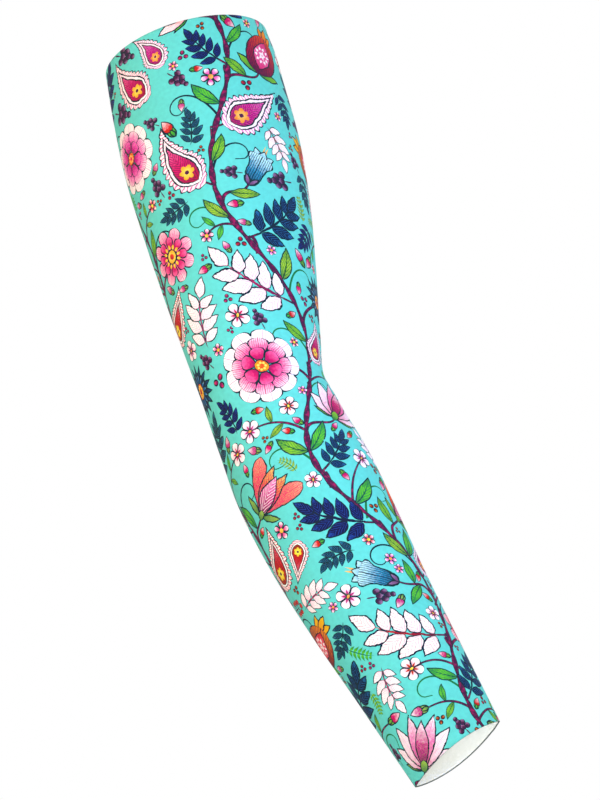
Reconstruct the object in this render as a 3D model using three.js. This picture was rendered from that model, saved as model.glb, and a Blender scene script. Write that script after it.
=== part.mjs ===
import * as THREE from 'three';
import { ParametricGeometry } from 'three/addons/geometries/ParametricGeometry.js';

// Cycling arm sleeve: one tube of printed stretch knit, open at both ends, in the form that it
// takes on a slightly bent arm. Millimetres, +Z up. The origin is the middle of the upper opening,
// the forearm swings towards +X and the sleeve is symmetric about the plane Y = 0.

const wallThickness = 1;
const facetsAround = 44;
const ringsAlong = 38;

// One row for each level of the arm: how far its middle lies below the upper opening and towards +X,
// how many degrees its cut leans from level, and the width and depth of its oval outside.
const levels = [
  { drop: 0, shift: 0, lean: 0, width: 98, depth: 93 }, // upper opening
  { drop: 32, shift: -2, lean: -2.5, width: 100.5, depth: 95.5 },
  { drop: 68, shift: -3.5, lean: -3, width: 102, depth: 97 }, // biceps
  { drop: 108, shift: -5.5, lean: -3.5, width: 96.5, depth: 92 },
  { drop: 148, shift: -8.5, lean: -4, width: 87, depth: 84 },
  { drop: 182, shift: -11, lean: -3.5, width: 77.5, depth: 75.5 },
  { drop: 208, shift: -12, lean: 0, width: 71.5, depth: 70 }, // elbow
  { drop: 236, shift: -10, lean: 6, width: 73, depth: 70.5 },
  { drop: 270, shift: -5, lean: 9, width: 79, depth: 76 }, // forearm swell
  { drop: 308, shift: 1.5, lean: 10.5, width: 77.5, depth: 73 },
  { drop: 348, shift: 9.5, lean: 12, width: 72, depth: 66 },
  { drop: 394, shift: 20.5, lean: 15, width: 65, depth: 58.5 },
  { drop: 444, shift: 33, lean: 21, width: 60, depth: 53 }, // wrist opening
];

// The cloth folds in slightly at the crook of the elbow, on the +X side.
const elbowCrease = { drop: 214, depth: 1.5, halfLength: 11 };

const smoothThrough = (points) => new THREE.CatmullRomCurve3(points, false, 'catmullrom', 0.5);

const armLine = smoothThrough(levels.map(({ drop, shift }) => new THREE.Vector3(shift, 0, -drop)));
const ovals = smoothThrough(levels.map(({ width, depth, lean }) => new THREE.Vector3(width, depth, lean)));

// How far the crease draws the cloth in: full at the crook, none on the outer half of the arm.
function creaseAt(drop, angle) {
  const along = (drop - elbowCrease.drop) / elbowCrease.halfLength;
  const facing = Math.max(0, Math.cos(angle));
  return elbowCrease.depth * Math.exp(-along * along) * facing * facing;
}

// A point of the wall: along runs from the upper opening at 0 to the wrist at 1, angle goes round the
// arm from +X, and inset goes from 0 on the outer face to 1 on the inner face.
function wallPoint(along, angle, inset, target) {
  const middle = armLine.getPoint(along);
  const oval = ovals.getPoint(along);
  const drawnIn = inset * wallThickness + creaseAt(-middle.z, angle);
  const lean = THREE.MathUtils.degToRad(oval.z);
  target.set((oval.x / 2 - drawnIn) * Math.cos(angle), (oval.y / 2 - drawnIn) * Math.sin(angle), 0);
  target.applyAxisAngle(new THREE.Vector3(0, -1, 0), lean);
  target.add(middle);
}

// The wall is one closed skin: down the outside, across the wrist's edge, up the inside and back
// across the upper edge.
function makeSleeveGeometry() {
  const rings = 2 * ringsAlong + 2;
  const { clamp } = THREE.MathUtils;
  const skin = (u, v, target) => {
    const angle = 2 * Math.PI * ((1 - u) % 1);
    const ring = rings * (v % 1);
    const along = clamp(Math.min(ring, rings - 1 - ring) / ringsAlong, 0, 1);
    const inset = clamp(Math.min(ring - ringsAlong, rings - ring), 0, 1);
    wallPoint(along, angle, inset, target);
  };
  return new ParametricGeometry(skin, facetsAround, rings);
}

const printedKnit = new THREE.MeshStandardMaterial({ color: '#6bd9e0', roughness: 0.75, metalness: 0 });

const sleeve = new THREE.Mesh(makeSleeveGeometry(), printedKnit);
sleeve.name = 'sleeve';

const armSleeve = new THREE.Group();
armSleeve.add(sleeve);

export default armSleeve;
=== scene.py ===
import math
import random

import bmesh
import bpy
from mathutils import Matrix, Vector, kdtree
from mathutils.geometry import interpolate_bezier


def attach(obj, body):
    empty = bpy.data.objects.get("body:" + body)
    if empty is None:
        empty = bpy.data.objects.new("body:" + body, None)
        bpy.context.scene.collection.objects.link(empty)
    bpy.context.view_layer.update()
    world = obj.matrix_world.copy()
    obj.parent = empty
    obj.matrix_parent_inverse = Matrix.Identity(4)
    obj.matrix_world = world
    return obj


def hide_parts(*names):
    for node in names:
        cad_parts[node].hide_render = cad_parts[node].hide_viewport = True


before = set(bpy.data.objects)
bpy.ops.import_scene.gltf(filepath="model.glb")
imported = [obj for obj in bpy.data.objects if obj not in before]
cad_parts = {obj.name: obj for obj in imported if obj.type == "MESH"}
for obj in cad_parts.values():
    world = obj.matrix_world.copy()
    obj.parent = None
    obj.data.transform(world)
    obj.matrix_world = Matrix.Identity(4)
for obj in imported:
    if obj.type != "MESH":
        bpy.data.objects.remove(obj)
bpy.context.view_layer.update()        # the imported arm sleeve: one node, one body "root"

mm = 0.001


def linear(hexColour):   # sRGB hex to the linear colour that shaders take
    channels = [int(hexColour[i:i + 2], 16) / 255 for i in (1, 3, 5)]
    return [c / 12.92 if c <= 0.04045 else ((c + 0.055) / 1.055) ** 2.4 for c in channels] + [1.0]


def perMetre(size):      # a noise's scale, from the size of its patches in mm
    return round(1 / (size * mm))


def put(tree, node, links=(), operation=None, out=0, **settings):   # sets and links a node, new if named
    if isinstance(node, str):
        node = tree.nodes.new("ShaderNode" + node)
    if operation:
        node.operation = operation
    for name, value in settings.items():
        setattr(node, name, value)
    for socket, value in links.items() if isinstance(links, dict) else enumerate(links):
        if isinstance(value, bpy.types.NodeSocket):
            tree.links.new(value, node.inputs[socket])
        else:
            node.inputs[socket].default_value = value
    return node.outputs[out]


# The form that the cloth takes on a slightly bent arm, level by level from the upper opening down:
# mm below the opening, mm towards the crook of the elbow, lean of the cut in degrees, oval in mm.
armForm = {
    "columns": ("drop", "shift", "lean", "width", "depth"),
    "levels": [
        (0, 0, 0, 98, 93),
        (32, -2, -2.5, 100.5, 95.5),
        (68, -3.5, -3, 102, 97),
        (108, -5.5, -3.5, 96.5, 92),
        (148, -8.5, -4, 87, 84),
        (182, -11, -3.5, 77.5, 75.5),
        (208, -12, 0, 71.5, 70),
        (236, -10, 6, 73, 70.5),
        (270, -5, 9, 79, 76),
        (308, 1.5, 10.5, 77.5, 73),
        (348, 9.5, 12, 72, 66),
        (394, 20.5, 15, 65, 58.5),
        (444.7, 32.8, 22, 58.6, 53),
    ],
    "fineSteps": 1500,
    "crease": {"drop": 214, "depth": 1.5, "halfLength": 11},   # the cloth folds in a little at the crook
    "lip": {"depth": 1.6, "length": 10},                       # and turns in a little at the edge above it
    "pinch": {"drop": 444, "share": 0.75, "thin": 0.16, "length": 16},   # the wrist edge lies a little flat
    "seam": {"angle": 32, "rise": 0.35, "halfWidth": 3.2},     # stands proud, behind the crook side
    "wall": 0.8,
}


def levelAt(t):   # a smooth curve through the levels, column by column
    rows = armForm["levels"]
    i = min(int(t), len(rows) - 2)
    w = t - i
    level = {}
    for k, column in enumerate(armForm["columns"]):
        b, c = rows[i][k], rows[i + 1][k]
        a = rows[i - 1][k] if i > 0 else 2 * b - c
        d = rows[i + 2][k] if i + 2 < len(rows) else 2 * c - b
        level[column] = b + w / 2 * (c - a + w * (2 * a - 5 * b + 4 * c - d + w * (3 * (b - c) + d - a)))
    return level


def evenLevels(count):   # levels at even steps along the arm, wrist first, each with its length and girth
    steps = armForm["fineSteps"]
    last = len(armForm["levels"]) - 1
    fine = [levelAt(last * (1 - i / steps)) for i in range(steps + 1)]
    length = 0
    for before, level in zip([fine[0]] + fine, fine):
        length += math.hypot(level["drop"] - before["drop"], level["shift"] - before["shift"])
        level["length"] = length
        a, b = level["width"] / 2, level["depth"] / 2
        level["girth"] = math.pi * (3 * (a + b) - math.sqrt((3 * a + b) * (a + 3 * b)))
    return [min(fine, key=lambda level: abs(level["length"] - length * i / count)) for i in range(count + 1)]


def levelAlong(levels, length):   # the level at a length up from the wrist
    share = max(0.0, min(1.0, length / levels[-1]["length"])) * (len(levels) - 1)
    i = min(int(share), len(levels) - 2)
    return {column: low + (levels[i + 1][column] - low) * (share - i) for column, low in levels[i].items()}


def onArm(level, fromSeam, outwards=0.0):   # a point of the outer face, by its mm across from the seam
    crease, pinch, seam = armForm["crease"], armForm["pinch"], armForm["seam"]
    angle = math.radians(seam["angle"]) + 2 * math.pi * fromSeam / level["girth"]
    along = (level["drop"] - crease["drop"]) / crease["halfLength"]
    facing = max(0.0, math.cos(angle))
    drawnIn = crease["depth"] * math.exp(-along * along) * facing * facing - outwards
    drawnIn += armForm["lip"]["depth"] * facing * math.exp(-(level["drop"] / armForm["lip"]["length"]) ** 2)
    fromEdge = min(fromSeam, level["girth"] - fromSeam) / seam["halfWidth"]
    drawnIn -= seam["rise"] * max(0.0, 1 - fromEdge * fromEdge)
    flat = math.exp(-((level["drop"] - pinch["drop"]) / pinch["length"]) ** 2)
    thinner = (1 - pinch["thin"] * flat) * (1 - pinch["share"] * flat * (1 - abs(math.sin(angle))))
    x = (level["width"] / 2 - drawnIn) * math.cos(angle)
    y = (level["depth"] / 2 - drawnIn) * math.sin(angle) * thinner
    lean = math.radians(level["lean"])
    return Vector((level["shift"] + x * math.cos(lean), y, x * math.sin(lean) - level["drop"])) * mm


# The print is a trailing-vine floral. Every motif is a set of petals: a ring of "count" petals round its
# middle, or a mirrored pair at "tilt" degrees either side of its axis. Start, end and half width are shares
# of the motif's size, and "lift" moves the petal's foot up the axis.
inks = {
    "outline": "#0a2735", "plum": "#4b1540", "lilac": "#a873ab", "magenta": "#cf0f66", "pink": "#f0639f",
    "rose": "#f4a3bd", "blush": "#fbdfe6", "crimson": "#a40d38", "flame": "#e6431a", "apricot": "#fbb07c",
    "mustard": "#efa416", "lemon": "#f8da5c", "navy": "#062040", "blue": "#1b6fae", "sky": "#bfe6f0",
    "leaf": "#17763a", "lime": "#84c62a", "white": "#fbfaf5",
}
profiles = {   # half width of a petal from its foot at 0 to its tip at 1
    "almond": [(0, 0), (0.22, 0.7), (0.5, 1), (0.78, 0.62), (1, 0)],
    "ovate": [(0, 0), (0.1, 0.55), (0.32, 1), (0.6, 0.86), (0.85, 0.42), (1, 0)],
    "round": [(0, 0), (0.2, 0.4), (0.45, 0.8), (0.7, 1), (0.9, 0.78), (1, 0)],
    "spear": [(0, 0), (0.06, 0.5), (0.4, 1), (0.75, 0.6), (1, 0)],
    "disc": [(0, 0), (0.067, 0.5), (0.25, 0.866), (0.5, 1), (0.75, 0.866), (0.933, 0.5), (1, 0)],
    "drop": [(0, 0), (0.07, 0.55), (0.24, 1), (0.5, 0.8), (0.8, 0.28), (1, 0)],
    "bell": [(0, 0), (0.05, 0.35), (0.3, 0.62), (0.65, 0.72), (0.93, 1), (1, 0)],
}
palePetal = ("pink", "blush", "white")
berry = ("crimson", "flame")
green = ("leaf", "lime")
gold = ("lemon", "mustard")
twigBark = ("plum", "plum")


def petal(start, end, half, profile, colours, tilt=0, **more):
    return dict(start=start, end=end, half=half, profile=profile, colours=colours, tilt=tilt, **more)


def eye(half, colours, **more):   # a round middle
    return petal(-half, half, half, "disc", colours, count=1, **more)


def beads(count, start, end, half, colours, **more):   # a ring of small dots with no outline
    return petal(start, end, half, "disc", colours, count=count, line=False, **more)


def rib(end, half, colours, tilt=0, **more):   # a thin stalk or midrib with no outline
    return petal(0, end, half, "spear", colours, tilt, line=False, **more)


def veined(across, along, share, colour):   # fine lines across and along a petal, and the share that is inked
    return {"across": across, "along": along, "share": share, "colour": colour}


motifKinds = {
    "leaf": {"size": 25, "petals": [
        petal(0, 1, 0.18, "almond", ("leaf", "lime", "leaf"), veins=veined(8, -16, 0.22, "leaf")),
        rib(0.93, 0.016, ("outline", "leaf")),
    ]},
    "boteh": {"size": 42, "petals": [
        petal(0, 1, 0.28, "drop", ("blush", "white"), scallop=(13, 0.16), veins=veined(26, 0, 0.3, "pink")),
        petal(0.06, 0.86, 0.2, "drop", ("white", "blush")),
        petal(0.1, 0.74, 0.155, "drop", ("crimson", "magenta", "pink"), veins=veined(16, -30, 0.25, "plum")),
        beads(6, 0.01, 0.1, 0.032, gold, lift=0.27),
        eye(0.025, ("plum", "plum"), lift=0.27, line=False),
    ]},
    "spray": {"size": 46, "petals": [
        rib(0.8, 0.014, ("plum", "magenta"))] + [
        petal(0.015, end, end * 0.26, "ovate", ("blush", "white", "white"), tilt, lift=lift,
              veins=veined(7, -30, 0.2, "rose"))
        for lift, tilt, end in ((0.08, 58, 0.31), (0.24, 54, 0.36), (0.4, 50, 0.36), (0.56, 44, 0.31),
                                (0.7, 0, 0.34))]},
    "frond": {"size": 38, "petals": [
        rib(0.9, 0.018, ("outline", "navy"))] + [
        petal(0.02, end, end * 0.23, "ovate", ("navy", "navy", "navy", "blue"), tilt, lift=lift,
              veins=veined(6, -34, 0.14, "blue"))
        for lift, tilt, end in ((0.08, 56, 0.36), (0.27, 52, 0.37), (0.45, 46, 0.34), (0.61, 38, 0.3),
                                (0.7, 0, 0.34))]},
    "fern": {"size": 24, "petals": [
        rib(0.95, 0.02, ("leaf", "leaf"))] + [
        petal(0.02, end, 0.05, "drop", ("lime", "leaf"), 56, lift=lift, line=False)
        for lift, end in ((0.08, 0.24), (0.22, 0.28), (0.36, 0.28), (0.5, 0.25), (0.64, 0.21),
                          (0.77, 0.15))]},
    "rosette": {"size": 15.5, "petals": [
        petal(0.2, 1, 0.275, "round", ("magenta", "pink", "blush"), count=8,
              veins=veined(0, 15, 0.2, "pink")),
        petal(0.16, 0.7, 0.19, "round", ("crimson", "magenta", "pink"), count=8, turn=22.5),
        beads(12, 0.26, 0.42, 0.05, gold),
        eye(0.24, ("mustard", "lemon", "mustard")),
        eye(0.1, berry, line=False),
    ]},
    "peony": {"size": 20, "petals": [
        petal(0.34, 1, 0.31, "round", ("pink", "blush", "white", "white"), count=9,
              veins=veined(0, 17, 0.17, "rose")),
        petal(0.24, 0.77, 0.27, "round", ("crimson", "pink", "blush"), count=8, turn=20,
              veins=veined(0, 20, 0.2, "magenta")),
        petal(0.08, 0.52, 0.21, "round", ("plum", "magenta", "pink"), count=6),
        eye(0.19, ("mustard", "flame", "mustard")),
        beads(7, 0.06, 0.13, 0.034, ("lemon", "lemon")),
    ]},
    "aster": {"size": 14, "petals": [
        petal(0.2, 1, 0.13, "spear", ("navy", "navy", "blue"), count=15),
        petal(0.2, 0.72, 0.1, "spear", ("navy", "blue", "sky"), count=15, turn=12),
        eye(0.3, ("flame", "mustard", "flame")),
        beads(10, 0.15, 0.25, 0.045, ("lemon", "lemon")),
        eye(0.09, ("crimson", "crimson"), line=False),
    ]},
    "blossom": {"size": 8, "petals": [
        petal(0.06, 1, 0.45, "round", palePetal, count=5),
        petal(0.1, 0.6, 0.08, "spear", ("crimson", "magenta"), count=5, line=False),
        eye(0.2, gold),
    ]},
    "tulip": {"size": 34, "petals": [
        petal(0, 0.46, 0.07, "almond", green, 66),
        petal(0, 1, 0.155, "round", ("crimson", "flame", "apricot"), 27, veins=veined(0, 36, 0.28, "flame")),
        petal(0, 0.92, 0.14, "almond", ("crimson", "flame", "lemon"), 9,
              veins=veined(9, -26, 0.2, "crimson")),
        petal(0, 0.78, 0.16, "almond", ("plum", "magenta", "pink"), veins=veined(10, -22, 0.24, "blush")),
        petal(-0.05, 0.13, 0.075, "disc", green),
    ]},
    "lotus": {"size": 30, "petals": [
        petal(0, 0.5, 0.07, "almond", green, 84)] + [
        petal(0, end, half, "almond", ("magenta", "blush", "white"), tilt, veins=veined(0, 40, 0.2, "rose"))
        for tilt, end, half in ((64, 0.74, 0.13), (38, 0.9, 0.16))] + [
        petal(0, 0.97, 0.15, "almond", ("crimson", "pink", "white"), 15, veins=veined(0, 40, 0.22, "pink")),
        petal(0, 0.84, 0.15, "almond", ("plum", "magenta", "blush")),
        petal(-0.06, 0.16, 0.1, "disc", green),
    ]},
    "pomegranate": {"size": 34, "petals": [
        petal(0, 0.5, 0.085, "almond", green, 72),
        petal(0, 0.33, 0.075, "almond", ("flame", "mustard"), 33, lift=0.66),
        petal(0, 0.36, 0.08, "almond", ("flame", "mustard"), lift=0.66),
        petal(0, 0.78, 0.35, "disc", ("plum", "crimson", "flame"), veins=veined(0, 26, 0.25, "plum")),
        petal(0.1, 0.7, 0.2, "almond", ("magenta", "pink", "magenta"))] + [
        petal(start, end, half, "drop", ("blush", "white"), lift=0.4, count=count, line=False)
        for count, start, end, half in ((10, 0.1, 0.17, 0.026), (5, 0.01, 0.09, 0.024))]},
    "bell": {"size": 28, "petals": [
        rib(0.38, 0.025, ("mustard", "lemon"), 6, lift=0.62),
        petal(0, 0.34, 0.1, "almond", ("blue", "sky"), 40, lift=0.58),
        petal(0, 0.28, 0.1, "almond", ("blue", "sky"), lift=0.6),
        petal(0, 0.74, 0.27, "bell", ("navy", "blue", "sky"), veins=veined(0, 24, 0.26, "navy")),
        petal(-0.02, 0.27, 0.06, "almond", ("plum", "lilac"), 30),
    ]},
    "sprig": {"size": 26, "petals": [
        rib(end, 0.02, twigBark, tilt, lift=lift)
        for lift, tilt, end in ((0, 0, 0.8), (0.12, 40, 0.25), (0.34, 42, 0.22), (0.55, 44, 0.2))] + [
        petal(start, start + 0.2, 0.1, "disc", berry, tilt, lift=lift)
        for lift, tilt, start in ((0.12, 40, 0.22), (0.34, 42, 0.2), (0.55, 44, 0.16), (0, 0, 0.77))]},
    "grapes": {"size": 22, "petals": [
        rib(0.35, 0.025, twigBark)] + [
        petal(start, start + 2 * half, half, "disc", ("navy", "plum", "lilac"), tilt, lift=lift)
        for lift, tilt, start, half in ((0.22, 50, 0.1, 0.13), (0.22, 0, 0.08, 0.13), (0.45, 40, 0.07, 0.125),
                                        (0.57, 0, 0.03, 0.115), (0.76, 0, 0.02, 0.1))]},
    "bud": {"size": 14, "petals": [
        petal(0.1, 1, 0.25, "almond", ("crimson", "magenta", "blush")),
        petal(0, 0.5, 0.11, "almond", green, 22),
        petal(0, 0.44, 0.12, "almond", green),
    ]},
    "umbel": {"size": 27, "petals": [
        rib(0.75, 0.014, twigBark, tilt) for tilt in (0, 25, 50)] + [
        petal(end - 0.27, end, 0.135, "disc", palePetal, tilt)
        for tilt, end in ((50, 0.88), (25, 0.97), (0, 1), (38, 0.68), (12, 0.74))] + [
        petal(middle - 0.04, middle + 0.04, 0.04, "disc", berry, tilt, line=False)
        for tilt, middle in ((50, 0.745), (25, 0.835), (0, 0.865), (38, 0.545), (12, 0.605))]},
    "starlet": {"size": 5, "petals": [
        petal(0.05, 1, 0.42, "round", ("crimson", "pink", "white"), count=5),
        eye(0.25, ("mustard", "lemon"), line=False),
    ]},
    "seeds": {"size": 4.5, "petals": [
        petal(0.12, 0.86, 0.36, "disc", ("plum", "crimson", "flame"), count=3),
    ]},
}
leafKinds = ["leaf", "boteh", "spray", "frond", "fern"]
kindsOf = {"leafCoord": leafKinds, "bloomCoord": [name for name in motifKinds if name not in leafKinds]}
codeStep = 10   # motif codes go up in tens, and the units hold the colourway
for layer, names in kindsOf.items():
    for i, name in enumerate(names, 1):
        motifKinds[name].update(layer=layer, code=codeStep * i)

# How the print grows over the flat panel: lengths in mm, across from the panel's middle and up from the
# wrist, angles in degrees, sizes as shares of a motif's own, bends as curvature over its size. The stems'
# phase and knots and the curls' lean, slow and fast are in radians, a filler's place across in girths.
growth = {
    "seed": 4, "colourways": 3, "clearance": 0.2, "cell": 10, "strandCover": 1.0, "coverEvery": 6,
    "stem": {"middles": (-108, -24, 60, 144), "wave": 168, "phase": 2.2, "meander": 13, "step": 0.5,
             "spare": 20, "half": 1.5, "swell": 0.3, "knots": 0.21},
    "node": {"first": -14, "stagger": 9, "every": 37, "jitter": (0.9, 1.1),
             "leafFoot": 5, "leafPlace": 12, "curlFoot": 19, "twigFoot": 26},
    "bloom": {"kinds": ["peony", "tulip", "aster", "pomegranate", "rosette", "lotus", "bell"],
              "size": (0.95, 1.12), "reach": (23, 29), "rise": (13, 20), "turn": (28, 62), "sunk": 0.35},
    "stalk": {"half": 0.75, "taper": (1.5, 0.7), "points": 90, "leaves": (3, 13), "meets": 10},
    "sideLeaf": {"kinds": ["boteh", "spray", "frond", "spray"], "sizes": (1.1, 0.9, 0.75),
                 "turn": (48, 78), "bend": (0.4, 1.0), "gap": 5},
    "stalkLeaf": {"spots": ((0.4, 60), (0.62, -62)), "sway": (-12, 12), "size": (0.65, 0.9)},
    "stemLeaf": {"turn": (40, 70), "size": (0.7, 0.95), "bend": -0.6},
    "leafBend": (-0.8, 0.8),
    "curl": {"half": 0.55, "taper": (1.3, 0.8), "step": 0.5, "length": (30, 50), "lean": 0.4,
             "slow": 0.02, "fast": 0.3, "power": 2.2},
    "twig": {"tries": 1200, "tips": ["blossom", "bud", "blossom", "starlet"], "tipSize": 0.8, "tipTurn": 1.3,
             "turn": (40, 110), "length": (16, 40), "hold": 0.4, "footTurn": 0.6, "endTurn": 1.4,
             "points": 70, "taper": (1.1, 0.5), "bareFrom": 6, "cover": 0.8, "coverEvery": 4,
             "spots": ((0.4, 55), (0.6, -55), (0.78, 50)), "leafLength": (8, 12)},
    "filler": {"past": 8, "across": (-0.52, 0.52), "bend": (0.3, 1.0),
               "sizes": (1.15, 1.0, 0.86, 0.72, 0.6), "swings": (0, 90, 180, 270)},
    "rounds": [
        (["spray", "frond", "spray", "frond", "boteh"], 1500),
        (["umbel", "spray", "frond", "spray"], 1500),
        (["blossom", "frond", "blossom", "grapes"], 1500),
        (["blossom", "fern", "spray", "sprig"], 1500),
        (["starlet", "seeds", "fern", "bud", "blossom"], 4000),
    ],
}


def headed(angle):   # unit vector at an angle clockwise from straight up the panel
    return Vector((math.sin(angle), math.cos(angle)))


def bent(x, y, bend):   # where a point of a motif lands when the motif's axis bends to an arc
    if not bend:
        return x, y
    radius = 1 / bend
    return radius - (radius - x) * math.cos(y * bend), (radius - x) * math.sin(y * bend)


def straightened(x, y, bend):   # and back
    if not bend:
        return x, y
    radius = 1 / bend
    side = math.copysign(1, radius)
    out = side * math.hypot(radius - x, y)
    return radius - out, radius * math.atan2(side * y, side * (radius - x))


def coverOf(kind):   # discs that cover a motif, in shares of its size, widest first
    discs = []
    for part in kind["petals"]:
        lift = part.get("lift", 0)
        if "count" in part:
            discs.append((0, lift, part["end"]))
            continue
        tilt = math.radians(part["tilt"])
        for share, half in profiles[part["profile"]][1:]:
            out = part["start"] + (part["end"] - part["start"]) * share
            x, y = out * math.sin(tilt), lift + out * math.cos(tilt)
            for side in (-1, 1) if tilt else (1,):
                discs.append((side * x, y, half * part["half"]))
    return sorted(discs, key=lambda disc: -disc[2])


def growPrint(levels):
    rng = random.Random(growth["seed"])
    top = levels[-1]["length"]
    covers = {name: coverOf(kind) for name, kind in motifKinds.items()}
    strands, motifs, taken = [], [], {}

    def girthAt(y):
        return levelAlong(levels, y)["girth"]

    def between(limits):
        return rng.uniform(*limits)

    def cellsUnder(p, r):
        cell = growth["cell"]
        columns, rows = (range(math.floor((c - r) / cell), math.floor((c + r) / cell) + 1) for c in p)
        return [(i, j) for i in columns for j in rows]

    def take(discs):
        for p, r in discs:
            for cell in cellsUnder(p, r + growth["clearance"]):
                taken.setdefault(cell, []).append((p, r))

    def isClear(p, r):
        near = (disc for cell in cellsUnder(p, r) for disc in taken.get(cell, ()))
        return all((p - q).length > r + s + growth["clearance"] for q, s in near)

    def add(name, place, turn, size, bend=0.0):   # places a motif where it is clear of the others
        if abs(place.x) > girthAt(place.y) / 2 + size or not -size < place.y < top + size:
            return False
        side = Vector((math.cos(turn), -math.sin(turn)))
        discs = []
        for x, y, r in covers[name]:
            x, y = bent(x, y, bend)
            discs.append((place + (headed(turn) * y + side * x) * size, r * size))
            if not isClear(*discs[-1]):
                return False
        take(discs)
        motifs.append({"name": name, "place": place, "turn": turn, "size": size, "bend": bend,
                       "discs": discs, "tone": rng.randrange(growth["colourways"])})
        return True

    def draw(layer, points, halves, tone=0):
        strands.append({"layer": layer, "points": points, "half": halves, "tone": tone})

    def tapered(half, taper, count):   # half widths from a strand's foot to its tip
        return [half * (taper[0] - taper[1] * i / count) for i in range(count)]

    def bezier(corners, count):
        return [p.to_2d() for p in interpolate_bezier(*(p.to_3d() for p in corners), count)]

    def stalk(base, place, turn, side):   # a stalk that leaves its stem upwards and meets its motif straight
        form = growth["stalk"]
        sideways, up = form["leaves"]
        corners = [base, base + Vector((side * sideways, up)), place - headed(turn) * form["meets"], place]
        path = bezier(corners, form["points"])
        draw("stalkCoord", path, tapered(form["half"], form["taper"], form["points"]))
        return path

    def curl(start, angle, length, hand, tone):
        form = growth["curl"]
        step, steps = form["step"], length / form["step"]
        points, spot = [], start.copy()
        for i in range(int(steps)):
            points.append(spot.copy())
            angle += hand * step * (form["slow"] + form["fast"] * (i / steps) ** form["power"])
            spot += headed(angle) * step
        draw("curlCoord", points, tapered(form["half"], form["taper"], len(points)), tone)

    nodes = []
    form, spacing = growth["stem"], growth["node"]
    spare, steps = form["spare"], int(top / form["step"])
    for k, middle in enumerate(form["middles"]):
        def stemAt(y):
            swing = math.sin(2 * math.pi * y / form["wave"] + form["phase"] * k)
            return Vector((middle + form["meander"] * swing, y))
        points = [stemAt(i * form["step"]) for i in range(-spare, steps + spare)]
        swells = [1 + form["swell"] * math.sin(i * form["knots"]) for i in range(len(points))]
        draw("stemCoord", points, [form["half"] * swell for swell in swells])
        deck = list(growth["bloom"]["kinds"])
        rng.shuffle(deck)
        y, side = spacing["first"] + spacing["stagger"] * k, 1 if k % 2 else -1
        while y < top:
            node = {"bloomFoot": stemAt(y), "side": side, "bloom": deck[len(nodes) % len(deck)]}
            for foot in ("leafFoot", "leafPlace", "curlFoot", "twigFoot"):
                node[foot] = stemAt(y + spacing[foot])
            nodes.append(node)
            y += spacing["every"] * between(spacing["jitter"])
            side = -side

    stalks = []
    form = growth["bloom"]
    for node in nodes:   # a bloom on its stalk
        side, name = node["side"], node["bloom"]
        kind = motifKinds[name]
        size = kind["size"] * between(form["size"])
        tip = node["bloomFoot"] + Vector((side * between(form["reach"]), between(form["rise"])))
        turn = side * math.radians(between(form["turn"]))
        isUpright = "count" not in kind["petals"][0]
        place = tip - headed(turn) * size * form["sunk"] if isUpright else tip
        if add(name, place, turn, size):
            stalks.append((stalk(node["bloomFoot"], place, turn, side), turn, side))
    form = growth["sideLeaf"]
    for i, node in enumerate(nodes):   # a spray or paisley on the stem's other side
        turn = -node["side"] * math.radians(between(form["turn"]))
        first = i % len(form["kinds"])
        names = form["kinds"][first:] + form["kinds"][:first]
        bend = node["side"] * between(form["bend"])
        for name, share in [(name, share) for share in form["sizes"] for name in names]:
            place = node["leafPlace"] + headed(turn) * form["gap"]
            if add(name, place, turn, motifKinds[name]["size"] * share, bend):
                stalk(node["leafFoot"], place, turn, -node["side"])
                break
    leafSize = motifKinds["leaf"]["size"]
    form = growth["stalkLeaf"]
    for path, turn, side in stalks:
        for share, swing in form["spots"]:
            leafTurn = turn + side * math.radians(swing + between(form["sway"]))
            size = leafSize * between(form["size"])
            add("leaf", path[int(share * len(path))], leafTurn, size, between(growth["leafBend"]))
    form = growth["stemLeaf"]
    for node in nodes:
        for side in (-1, 1):
            turn = side * math.radians(between(form["turn"]))
            add("leaf", node["twigFoot"], turn, leafSize * between(form["size"]), form["bend"] * side)
        lean = node["side"] * growth["curl"]["lean"]
        curl(node["curlFoot"], lean, between(growth["curl"]["length"]), node["side"], rng.randrange(2))
    for strand in strands:
        take((p, growth["strandCover"]) for p in strand["points"][::growth["coverEvery"]])

    form = growth["twig"]
    branches = [strand["points"] for strand in strands if strand["layer"] == "stemCoord"]
    for _ in range(form["tries"]):   # thin twigs branch off into free ground, each to a small bloom
        foot = rng.choice(rng.choice(branches))
        side, name = rng.choice((-1, 1)), rng.choice(form["tips"])
        turn = side * math.radians(between(form["turn"]))
        length = between(form["length"])
        tip = foot + headed(turn) * length
        path = bezier([foot, foot + headed(turn * form["footTurn"]) * length * form["hold"],
                       tip - headed(turn * form["endTurn"]) * length * form["hold"], tip], form["points"])
        bare = [p for p in path if (p - foot).length > form["bareFrom"]]
        tipSize = motifKinds[name]["size"] * form["tipSize"]
        if all(isClear(p, form["cover"]) for p in bare) and add(name, tip, turn * form["tipTurn"], tipSize):
            for share, swing in form["spots"]:
                leafTurn = turn + side * math.radians(swing)
                size = between(form["leafLength"])
                add("leaf", path[int(share * len(path))], leafTurn, size, between(growth["leafBend"]))
            draw("stalkCoord", path, tapered(growth["stalk"]["half"], form["taper"], form["points"]))
            take((p, form["cover"]) for p in path[::form["coverEvery"]])

    form = growth["filler"]
    for names, tries in growth["rounds"]:   # motifs scattered over the ground that is still free
        for _ in range(tries):
            name = rng.choice(names)
            kind = motifKinds[name]
            y = rng.uniform(-form["past"], top + form["past"])
            place = Vector((between(form["across"]) * girthAt(y), y))
            turn = rng.uniform(-math.pi, math.pi)
            bend = rng.choice((-1, 1)) * between(form["bend"]) if kind["layer"] == "leafCoord" else 0.0
            for share, swing in [(share, swing) for share in form["sizes"] for swing in form["swings"]]:
                if add(name, place, turn + math.radians(swing), kind["size"] * share, bend):
                    break
    print("print grown:", len(motifs), "motifs on", len(strands), "stems and curls")
    return strands, motifs


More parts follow.
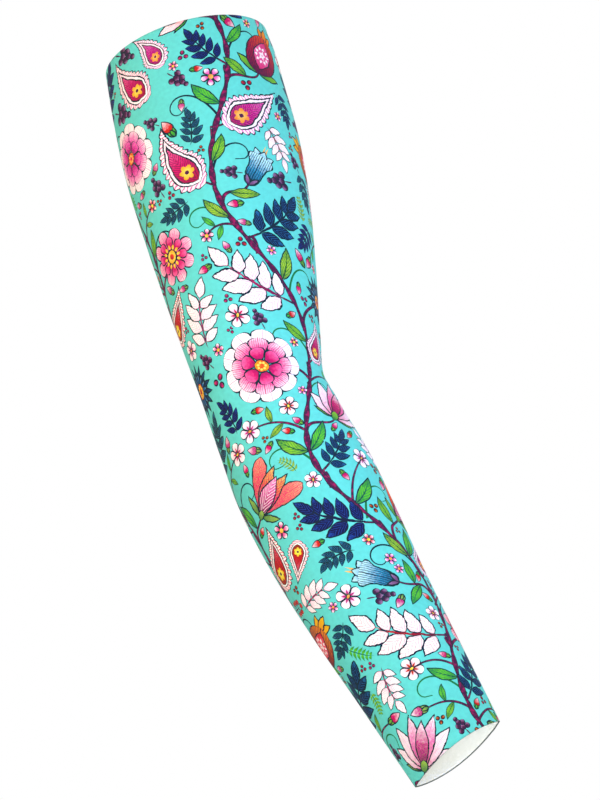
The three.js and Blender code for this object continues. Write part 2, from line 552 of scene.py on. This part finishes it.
# The panel is cut flat, printed, rolled round the arm and closed by a flat seam behind the crook side.
panel = {
    "across": 166, "along": 270,   # quads about 1.7 mm high, and 1.1 mm wide at the wrist to 1.9 mm above
    "flatCut": (0.255, 0.44), "flatArea": 0.09,   # relaxed cut in metres: upper girth, length and area
    "strandReach": 3.2, "neighbours": 7, "motifReach": 3.0, "weld": 0.02,
}


def makeSleeve(levels):
    strands, motifs = growPrint(levels)
    bm = bmesh.new()
    bmesh.ops.create_grid(bm, x_segments=panel["across"], y_segments=panel["along"], size=0.5)
    uv = bm.loops.layers.uv.new("panel")
    layers = {name: bm.loops.layers.float_vector.new(name)
              for name in ("stemCoord", "stalkCoord", "curlCoord", "leafCoord", "bloomCoord")}
    bm.verts.index_update()
    flat, rolled = [], []
    for vert in bm.verts:
        level = levels[round((vert.co.y + 0.5) * panel["along"])]
        flat.append(Vector((vert.co.x * level["girth"], level["length"])))
        rolled.append(onArm(level, (vert.co.x + 0.5) * level["girth"]))

    faces = list(bm.faces)
    tree = kdtree.KDTree(len(faces))
    for i, face in enumerate(faces):
        face.smooth = True
        middle = sum((flat[v.index] for v in face.verts), Vector((0, 0))) / 4
        tree.insert(middle.to_3d(), i)
        for loop in face.loops:
            loop[uv].uv = flat[loop.vert.index] * mm
    tree.balance()

    # each strand gives the faces along it their place across it, signed, so that the ink line stays sharp
    nearest = {}
    for strand in strands:
        found = nearest.setdefault(strand["layer"], {})
        for i, point in enumerate(strand["points"]):
            for _, face, distance in tree.find_range(point.to_3d(), panel["strandReach"]):
                if distance < found.get(face, (math.inf,))[0]:
                    found[face] = (distance, i, strand)
    for layer, found in nearest.items():
        for face, (_, i, strand) in found.items():
            points = strand["points"]
            near = range(max(1, i - panel["neighbours"]), min(len(points) - 1, i + panel["neighbours"]))
            for loop in faces[face].loops:
                spot = flat[loop.vert.index]
                j = min(near, key=lambda n: (points[n] - spot).length_squared)
                along = (points[j + 1] - points[j - 1]).normalized()
                off = spot - points[j]
                loop[layers[layer]] = (strand["tone"], along.x * off.y - along.y * off.x, strand["half"][j])

    # each motif gives the faces nearest to it their place in its own frame, in shares of its size
    owners = {layer: {} for layer in kindsOf}
    for motif in motifs:
        found = owners[motifKinds[motif["name"]]["layer"]]
        for p, r in motif["discs"]:
            for _, face, distance in tree.find_range(p.to_3d(), r + panel["motifReach"]):
                if distance - r < found.get(face, (math.inf,))[0]:
                    found[face] = (distance - r, motif)
    for layer, found in owners.items():
        for face, (_, motif) in found.items():
            up = headed(motif["turn"])
            right = Vector((up.y, -up.x))
            code = motifKinds[motif["name"]]["code"] + motif["tone"]
            for loop in faces[face].loops:
                off = (flat[loop.vert.index] - motif["place"]) / motif["size"]
                x, y = straightened(off.dot(right), off.dot(up), motif["bend"])
                loop[layers[layer]] = (x, y, code)

    for vert, place in zip(bm.verts, rolled):
        vert.co = place
    seam = [v for v in bm.verts if v.is_boundary]
    bmesh.ops.remove_doubles(bm, verts=seam, dist=panel["weld"] * mm)
    sleeve = newPiece(bm, "printedSleeve", printedKnit(), whiteInside(), cutEdgePaintedShade())
    wall = sleeve.modifiers.new("wall", "SOLIDIFY")
    wall.thickness = armForm["wall"] * mm
    wall.offset = -1
    wall.material_offset = 1
    wall.material_offset_rim = 2
    print("sleeve rolled:", len(sleeve.data.polygons), "faces")
    return sleeve


def newPiece(bm, name, *materials):   # the bmesh as an object at the origin
    mesh = bpy.data.meshes.new(name)
    bm.to_mesh(mesh)
    bm.free()
    for material in materials:
        mesh.materials.append(material)
    piece = bpy.data.objects.new(name, mesh)
    bpy.context.scene.collection.objects.link(piece)
    return piece


# Flatlock stitching over both faces of the seam: two rows of needle stitches and the cover thread that
# zigzags between, with sizes in mm and each thread's duller and brighter tone.
stitching = {"pitch": 2.4, "halfWidth": 2.3, "thread": 0.42, "sunk": 0.05, "overlap": 1.06, "fromEdge": 1,
             "ply": 0.5556, "seamStitches": ("#7fd0ca", "#9fe4df"), "innerStitches": ("#dfe6e2", "#f6f8f5")}


def makeStitches(levels, name, isInner):   # one repeat is made flat, doubled along the seam, then rolled
    bm = bmesh.new()
    pitch, half, thread = stitching["pitch"], stitching["halfWidth"], stitching["thread"]
    top, fromEdge = levels[-1]["length"], stitching["fromEdge"]
    left, right, repeat = Vector((-half, 0, 0)), Vector((half, 0, 0)), Vector((0, pitch, 0))
    middle = right + repeat / 2
    zigzag = [(left, middle), (middle, left + repeat)]
    for foot, tip in zigzag + [(left, left + repeat), (right, right + repeat)]:
        made = bmesh.ops.create_uvsphere(bm, u_segments=6, v_segments=5, radius=0.5)
        along = tip - foot
        turn = along.to_track_quat("Z", "Y").to_matrix().to_4x4()
        scale = Matrix.Diagonal((thread, thread, along.length * stitching["overlap"], 1))
        raised = (foot + tip) / 2 + Vector((0, fromEdge, thread / 2 - stitching["sunk"]))
        bmesh.ops.transform(bm, matrix=Matrix.Translation(raised) @ turn @ scale, verts=made["verts"])
    for face in bm.faces:
        face.smooth = True
    bm.verts.index_update()
    bm.faces.sort(key=lambda face: sum(v.index ** 2 for v in face.verts))   # in the same order each run
    repeats = 1
    while repeats * pitch < top:
        made = bmesh.ops.duplicate(bm, geom=bm.verts[:] + bm.edges[:] + bm.faces[:])["geom"]
        copies = [v for v in made if isinstance(v, bmesh.types.BMVert)]
        bmesh.ops.translate(bm, verts=copies, vec=(0, repeats * pitch, 0))
        repeats *= 2
    spare = [v for v in bm.verts if v.co.y // pitch >= (top - fromEdge) // pitch]
    bmesh.ops.delete(bm, geom=spare, context="VERTS")
    for vert in bm.verts:
        level = levelAlong(levels, vert.co.y)
        outwards = -armForm["wall"] - vert.co.z if isInner else vert.co.z
        vert.co = onArm(level, vert.co.x % level["girth"], outwards)
    if isInner:
        bmesh.ops.reverse_faces(bm, faces=bm.faces[:])
    stitches = newPiece(bm, name, seamThread(name))
    print("seam stitched:", name, len(stitches.data.polygons), "faces")
    return stitches


def newMaterial(name):
    material = bpy.data.materials.new(name)
    material.use_nodes = True
    return material, material.node_tree, material.node_tree.nodes["Principled BSDF"]


def mottled(tree, place, size, tones, detail=2):   # two tones in soft patches of a size in mm
    patches = put(tree, "TexNoise", {"Vector": place, "Scale": perMetre(size), "Detail": detail})
    low, high = (linear(tone) for tone in tones)
    return put(tree, "Mix", {0: patches, 6: low, 7: high}, out=2, data_type="RGBA")


# Wales and courses of the knit in mm. The real ones are about 0.35 mm apart, too fine to show, so they are
# drawn three to four times as coarse.
knit = {"wale": 1.4, "course": 1.1, "height": 0.12, "legs": 0.9}


def knitHeight(tree):
    place = put(tree, "UVMap", uv_map="panel")
    split = put(tree, "SeparateXYZ", (place,)).node.outputs
    across = put(tree, "Math", (split[0], 1 / (knit["wale"] * mm)), "MULTIPLY")
    legs = put(tree, "Math", (across, 0.5), "PINGPONG")   # each loop's two legs lean together
    up = put(tree, "Math", (split[1], 1 / (knit["course"] * mm)), "MULTIPLY")
    row = put(tree, "Math", (up, legs), "SUBTRACT")
    row = put(tree, "Math", (row, 0.5), "PINGPONG")
    return put(tree, "Math", (legs, knit["legs"], row), "MULTIPLY_ADD")


# How the ink lies on the cloth: line widths and patch sizes in mm, the rest as shares.
dye = {
    "line": 0.8, "lineSwell": 1.5, "blot": 0.7, "stalkRim": 0.3, "stemRim": 0.45, "hueStep": 0.035,
    "shakeBy": 0.045, "shake": 4.35, "mottle": 22.2, "grain": 2.38, "dab": 1.613, "wash": 2.63,
    "ground": ("#5dcfc4", "#62d4cb"),
}


def motifInk(name):   # a node group that draws one motif from a place in its own frame
    kind = motifKinds[name]
    tree = bpy.data.node_groups.new(name + "Ink", "ShaderNodeTree")
    for end, socket, form in (("INPUT", "x", "Float"), ("INPUT", "y", "Float"), ("INPUT", "dab", "Float"),
                              ("OUTPUT", "ink", "Color"), ("OUTPUT", "cover", "Float")):
        tree.interface.new_socket(socket, in_out=end, socket_type="NodeSocket" + form)
    x, y, dab = tree.nodes.new("NodeGroupInput").outputs[:3]
    line = dye["line"] / kind["size"]
    pen = put(tree, "Math", (dab, line * dye["lineSwell"], line), "MULTIPLY_ADD")   # a line that swells
    ink, cover, polar = None, None, {}
    for part in kind["petals"]:
        lift = part.get("lift", 0)
        if lift not in polar:
            up = put(tree, "Math", (y, lift), "SUBTRACT")
            spot = put(tree, "CombineXYZ", (x, up))
            polar[lift] = (put(tree, "VectorMath", (spot,), "LENGTH", out="Value"),
                           put(tree, "Math", (x, up), "ARCTAN2"))
        radius, angle = polar[lift]
        if "count" in part:
            angle = put(tree, "Math", (angle, math.radians(part.get("turn", 0))), "ADD")
            angle = put(tree, "Math", (angle, math.pi / part["count"]), "PINGPONG")
        else:
            angle = put(tree, "Math", (angle,), "ABSOLUTE")
            angle = put(tree, "Math", (angle, math.radians(part["tilt"])), "SUBTRACT")
        outward = put(tree, "Math", (angle,), "COSINE")
        outward = put(tree, "Math", (outward, radius), "MULTIPLY")
        sideways = put(tree, "Math", (angle,), "SINE")
        sideways = put(tree, "Math", (sideways, radius), "MULTIPLY")
        sideways = put(tree, "Math", (sideways,), "ABSOLUTE")
        span = part["end"] - part["start"]
        t = put(tree, "Math", (outward, 1 / span, -part["start"] / span), "MULTIPLY_ADD")
        half = put(tree, "FloatCurve", {"Value": t})
        curve = half.node.mapping.curves[0]
        outline = profiles[part["profile"]]
        curve.points[1].location = outline[-1]
        for share, width in outline[1:-1]:
            curve.points.new(share, width * part["half"])
        half.node.mapping.update()
        if "scallop" in part:
            count, depth = part["scallop"]
            lobe = put(tree, "Math", (t, math.pi * count), "MULTIPLY")
            lobe = put(tree, "Math", (lobe,), "SINE")
            lobe = put(tree, "Math", (lobe,), "ABSOLUTE")
            lobe = put(tree, "Math", (lobe, depth, 1 - depth), "MULTIPLY_ADD")
            half = put(tree, "Math", (half, lobe), "MULTIPLY")
        edge = put(tree, "Math", (half, sideways), "SUBTRACT")
        inside = put(tree, "Math", (edge, 0), "GREATER_THAN")
        blotted = put(tree, "Math", (dab, dye["blot"], t), "MULTIPLY_ADD")   # as if dabbed on by brush
        fill = put(tree, "ValToRGB", (blotted,))
        stops = fill.node.color_ramp.elements
        while len(stops) < len(part["colours"]):
            stops.new(0.5)
        for i, shade in enumerate(part["colours"]):
            stops[i].position = i / (len(stops) - 1)
            stops[i].color = linear(inks[shade])
        if "veins" in part:
            veins = part["veins"]
            vein = put(tree, "Math", (sideways, veins["along"]), "MULTIPLY")
            vein = put(tree, "Math", (t, veins["across"], vein), "MULTIPLY_ADD")
            vein = put(tree, "Math", (vein,), "FRACT")
            vein = put(tree, "Math", (vein, veins["share"]), "LESS_THAN")
            colour = linear(inks[veins["colour"]])
            fill = put(tree, "Mix", {0: vein, 6: fill, 7: colour}, out=2, data_type="RGBA")
        if part.get("line", True):
            rim = put(tree, "Math", (edge, pen), "LESS_THAN")
            fill = put(tree, "Mix", {0: rim, 6: fill, 7: linear(inks["outline"])}, out=2, data_type="RGBA")
        ink = put(tree, "Mix", {0: inside, 6: ink, 7: fill}, out=2, data_type="RGBA") if ink else fill
        cover = put(tree, "Math", (cover, inside), "MAXIMUM") if cover else inside
    result = tree.nodes.new("NodeGroupOutput")
    tree.links.new(ink, result.inputs["ink"])
    tree.links.new(cover, result.inputs["cover"])
    return tree


def drawMotifs(tree, layer, under, shake, dab):   # paints one layer of motifs over what is under it
    place = put(tree, "Attribute", out="Vector", attribute_name=layer)
    by = (dye["shakeBy"], dye["shakeBy"], 0)
    place = put(tree, "VectorMath", (shake, by, place), "MULTIPLY_ADD")
    x, y, code = put(tree, "SeparateXYZ", (place,)).node.outputs
    tone = put(tree, "Math", (code, codeStep), "MODULO")
    # colourways turn the hue a little to either side of 0.5, which leaves it as it is
    tone = put(tree, "Math", (tone, dye["hueStep"], 0.5 - dye["hueStep"]), "MULTIPLY_ADD")
    colour, cover = under, None
    for name in kindsOf[layer]:
        ink = put(tree, "Group", {"x": x, "y": y, "dab": dab}, node_tree=motifInk(name))
        isKind = put(tree, "Math", (code, motifKinds[name]["code"] + 1, codeStep / 4), "COMPARE")
        inside = put(tree, "Math", (ink.node.outputs["cover"], isKind), "MULTIPLY")
        colour = put(tree, "Mix", {0: inside, 6: colour, 7: ink}, out=2, data_type="RGBA")
        cover = put(tree, "Math", (cover, inside), "MAXIMUM") if cover else inside
    colour = put(tree, "HueSaturation", {"Hue": tone, "Color": colour})
    return put(tree, "Mix", {0: cover, 6: under, 7: colour}, out=2, data_type="RGBA")


def drawStrands(tree, layer, under, colours, rim, grain):   # paints stems or curls as an inked ribbon
    low, high = (linear(inks[shade]) for shade in colours)
    place = put(tree, "Attribute", out="Vector", attribute_name=layer)
    tone, across, half = put(tree, "SeparateXYZ", (place,)).node.outputs
    across = put(tree, "Math", (across,), "ABSOLUTE")
    edge = put(tree, "Math", (half, across), "SUBTRACT")
    inside = put(tree, "Math", (edge, 0), "GREATER_THAN")
    pick = put(tree, "Math", (tone, grain), "ADD")
    fill = put(tree, "Mix", {0: pick, 6: low, 7: high}, out=2, data_type="RGBA")
    isRim = put(tree, "Math", (edge, rim), "LESS_THAN")
    fill = put(tree, "Mix", {0: isRim, 6: fill, 7: linear(inks["outline"])}, out=2, data_type="RGBA")
    return put(tree, "Mix", {0: inside, 6: under, 7: fill}, out=2, data_type="RGBA")


def printedKnit():   # dye-printed polyester-elastane jersey: matt, soft sheen, ink sunk into the yarn
    material, tree, shader = newMaterial("printedStretchJersey")
    place = put(tree, "UVMap", uv_map="panel")
    ground = mottled(tree, place, dye["mottle"], dye["ground"], 3)
    noise = {"Vector": place, "Detail": 3}
    shake = put(tree, "TexNoise", {**noise, "Scale": perMetre(dye["shake"]), "Detail": 2}, out="Color")
    shake = put(tree, "VectorMath", (shake, (0.5, 0.5, 0.5)), "SUBTRACT")
    grain = put(tree, "TexNoise", {**noise, "Scale": perMetre(dye["grain"]), "Detail": 1})
    grain = put(tree, "MapRange", {"Value": grain, "From Min": 0.48, "From Max": 0.72, "To Max": 0.6})
    colour = drawStrands(tree, "curlCoord", ground, ("leaf", "outline"), 0.0, 0)
    colour = drawStrands(tree, "stalkCoord", colour, ("plum", "magenta"), dye["stalkRim"], grain)
    colour = drawStrands(tree, "stemCoord", colour, ("plum", "magenta"), dye["stemRim"], grain)
    dab = put(tree, "TexNoise", {**noise, "Scale": perMetre(dye["dab"]), "Roughness": 0.6})
    dab = put(tree, "Math", (dab, 0.5), "SUBTRACT")
    colour = drawMotifs(tree, "leafCoord", colour, shake, dab)
    colour = drawMotifs(tree, "bloomCoord", colour, shake, dab)
    wash = put(tree, "TexNoise", {**noise, "Scale": perMetre(dye["wash"])})
    wash = put(tree, "MapRange", {"Value": wash, "From Min": 0.3, "From Max": 0.7,
                                  "To Min": 0.93, "To Max": 1.04})
    colour = put(tree, "HueSaturation", {"Value": wash, "Color": colour})
    bump = put(tree, "Bump", {"Height": knitHeight(tree), "Strength": 0.35, "Distance": knit["height"] * mm})
    put(tree, shader, {"Base Color": colour, "Normal": bump, "Roughness": 0.75, "Specular IOR Level": 0.2,
                       "Sheen Weight": 0.06, "Sheen Roughness": 0.4})
    return material


# The white back of the cloth, and how far the painted shade at the cut, a dark grey line, runs up it, in mm.
back = {"mottle": 3.33, "tones": ("#f1f4ef", "#fcfdfa"), "shadeRun": (0.3, 0.6), "shadeAtCut": "#5a6462"}


def whiteInside():   # the unprinted back of the jersey: plain white loops, with grey painted shade along the cut
    material, tree, shader = newMaterial("whiteJerseyBack")
    place = put(tree, "UVMap", uv_map="panel")
    colour = mottled(tree, place, back["mottle"], back["tones"])
    up = put(tree, "SeparateXYZ", (place,), out=1)
    low, high = (height * mm for height in back["shadeRun"])
    paintedShade = put(tree, "MapRange", {"Value": up, "From Min": low, "From Max": high, "To Min": 1, "To Max": 0})
    # painted shade: the white back turns grey just inside the cut at the wrist, a dark line that stands in
    # for shadow at the edge
    colour = put(tree, "Mix", {0: paintedShade, 6: colour, 7: linear(back["shadeAtCut"])}, out=2, data_type="RGBA")
    bump = put(tree, "Bump", {"Height": knitHeight(tree), "Strength": 0.4, "Distance": knit["height"] * mm})
    put(tree, shader, {"Base Color": colour, "Normal": bump, "Roughness": 0.85, "Sheen Weight": 0.2})
    return material


# The cut edge's near-black tones are painted shade: the dark line of shadow along the edge of the cloth.
cut = {"mottle": 2, "tones": ("#22302f", "#3c5150")}   # patches of 2 mm


def cutEdgePaintedShade():   # heat-cut edge of the cloth: sealed and smoother than the faces, coloured near black as painted shade, a thin dark line to the eye
    material, tree, shader = newMaterial("heatCutEdgePaintedShade")
    place = put(tree, "UVMap", uv_map="panel")
    # painted shade: the rim faces take the near-black mottled tones
    put(tree, shader, {"Base Color": mottled(tree, place, cut["mottle"], cut["tones"]), "Roughness": 0.6})
    return material


def seamThread(name):   # textured polyester thread: soft, its plies a little uneven in tone
    material, tree, shader = newMaterial(name + "Polyester")
    colour = mottled(tree, put(tree, "TexCoord", out="Object"), stitching["ply"], stitching[name])
    put(tree, shader, {"Base Color": colour, "Roughness": 0.6, "Sheen Weight": 0.2})
    return material


levels = evenLevels(panel["along"])
sleeve = makeSleeve(levels)
stitches = [makeStitches(levels, "seamStitches", False), makeStitches(levels, "innerStitches", True)]
for piece in [sleeve] + stitches:
    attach(piece, "root")
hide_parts("sleeve")

# Camera below the sleeve's middle, so that the wrist opening shows its inside, turned as in a hand-held view
shot = {"aim": (0.0054, 0, -0.223), "distance": 2.4, "below": 19.9, "roll": 16.5,
        "pixel": 0.56, "picture": (600, 800), "sensor": 36}


def makeCamera():
    below, roll = math.radians(shot["below"]), math.radians(shot["roll"])
    ahead = Vector((0, math.cos(below), math.sin(below)))
    right, up = Vector((1, 0, 0)), Vector((0, -math.sin(below), math.cos(below)))
    right, up = right * math.cos(roll) - up * math.sin(roll), up * math.cos(roll) + right * math.sin(roll)
    data = bpy.data.cameras.new("camera")
    data.sensor_width = shot["sensor"]
    data.lens = shot["sensor"] * shot["distance"] / (shot["pixel"] * mm * max(shot["picture"]))
    camera = bpy.data.objects.new("camera", data)
    camera.matrix_world = Matrix.Translation(Vector(shot["aim"]) - ahead * shot["distance"]) @ Matrix(
        (right, up, -ahead)).transposed().to_4x4()
    bpy.context.scene.collection.objects.link(camera)
    bpy.context.scene.camera = camera
    print("camera at", [round(x, 3) for x in camera.matrix_world.translation])


# Pale floor at an arm's height below, and a white room that is brightest overhead and darker to the left.
# Cool key from the right, low front light that reaches into the wrist opening, warm fill on the upper arm,
# back light, and a faint glow in the forearm for the light that comes through the thin cloth.
studio = {
    "floorDrop": 1.32, "floorSize": 60, "atHorizon": 0.1, "overhead": 1.2, "rise": (0.15, 0.7),
    "atLeft": 0.2, "leftToRight": (-1, 0.2),
    "backdrop": {"low": 0.69, "high": 1.0, "rise": 0.2},   # as the camera sees the room: floor tone to white
    "lights": [
        {"name": "key", "place": (0.4, -0.6, -0.22), "size": 0.35, "spread": 60, "power": 0.43,
         "colour": "#7fb0ff"},
        {"name": "lowFront", "place": (0.3, -1.95, -1.15), "size": 0.8, "spread": 180, "power": 27,
         "colour": "#fffaf0"},
        {"name": "fill", "place": (-0.7, -0.5, 0.4), "size": 0.5, "spread": 40, "power": 0.55,
         "colour": "#ffd4a4", "aim": (-0.03, -0.03, -0.16)},
        {"name": "back", "place": (0, 2.0, 1.4), "size": 1.0, "spread": 180, "power": 26,
         "colour": "#fffaf0"},
        {"name": "glow", "place": (0.008, 0, -0.415), "size": 0.02, "spread": 90, "power": 0.0022,
         "colour": "#e4f2ff", "aim": (0.062, 0.006, -0.432)},
    ],
}


def makeStudio():
    bm = bmesh.new()
    bmesh.ops.create_grid(bm, x_segments=1, y_segments=1, size=studio["floorSize"])
    bmesh.ops.translate(bm, verts=bm.verts, vec=(0, 0, -studio["floorDrop"]))
    material, tree, shader = newMaterial("paleFloor")
    put(tree, shader, {"Base Color": linear("#f1f1ef"), "Roughness": 0.9})
    floor = newPiece(bm, "floor", material)
    for light in studio["lights"]:
        data = bpy.data.lights.new(light["name"], "AREA")
        data.size = light["size"]
        data.spread = math.radians(light["spread"])
        data.energy = light["power"]
        data.color = linear(light["colour"])[:3]
        lamp = bpy.data.objects.new(light["name"], data)
        lamp.location = light["place"]
        aim = Vector(light.get("aim", shot["aim"]))
        lamp.rotation_euler = (aim - lamp.location).to_track_quat("-Z", "Y").to_euler()
        bpy.context.scene.collection.objects.link(lamp)
    world = bpy.data.worlds.new("studio")
    bpy.context.scene.world = world
    world.use_nodes = True
    tree = world.node_tree
    right, _, height = put(tree, "SeparateXYZ", (put(tree, "TexCoord", out="Generated"),)).node.outputs
    low, high = studio["rise"]
    glow = put(tree, "MapRange", {"Value": height, "From Min": low, "From Max": high,
                                  "To Min": studio["atHorizon"], "To Max": studio["overhead"]})
    low, high = studio["leftToRight"]
    side = put(tree, "MapRange", {"Value": right, "From Min": low, "From Max": high,
                                  "To Min": studio["atLeft"]})
    glow = put(tree, "Math", (glow, side), "MULTIPLY")
    seenRoom = studio["backdrop"]
    backdrop = put(tree, "MapRange", {"Value": height, "From Max": seenRoom["rise"],
                                      "To Min": seenRoom["low"], "To Max": seenRoom["high"]})
    seen = put(tree, "LightPath", out="Is Camera Ray")
    strength = put(tree, "Mix", {0: seen, 2: glow, 3: backdrop}, data_type="FLOAT")
    put(tree, tree.nodes["Background"], {"Color": (1, 1, 1, 1), "Strength": strength})
    bpy.context.scene.view_settings.view_transform = "Standard"
    print("studio set: floor", studio["floorDrop"], "m below the upper opening")


makeCamera()
makeStudio()
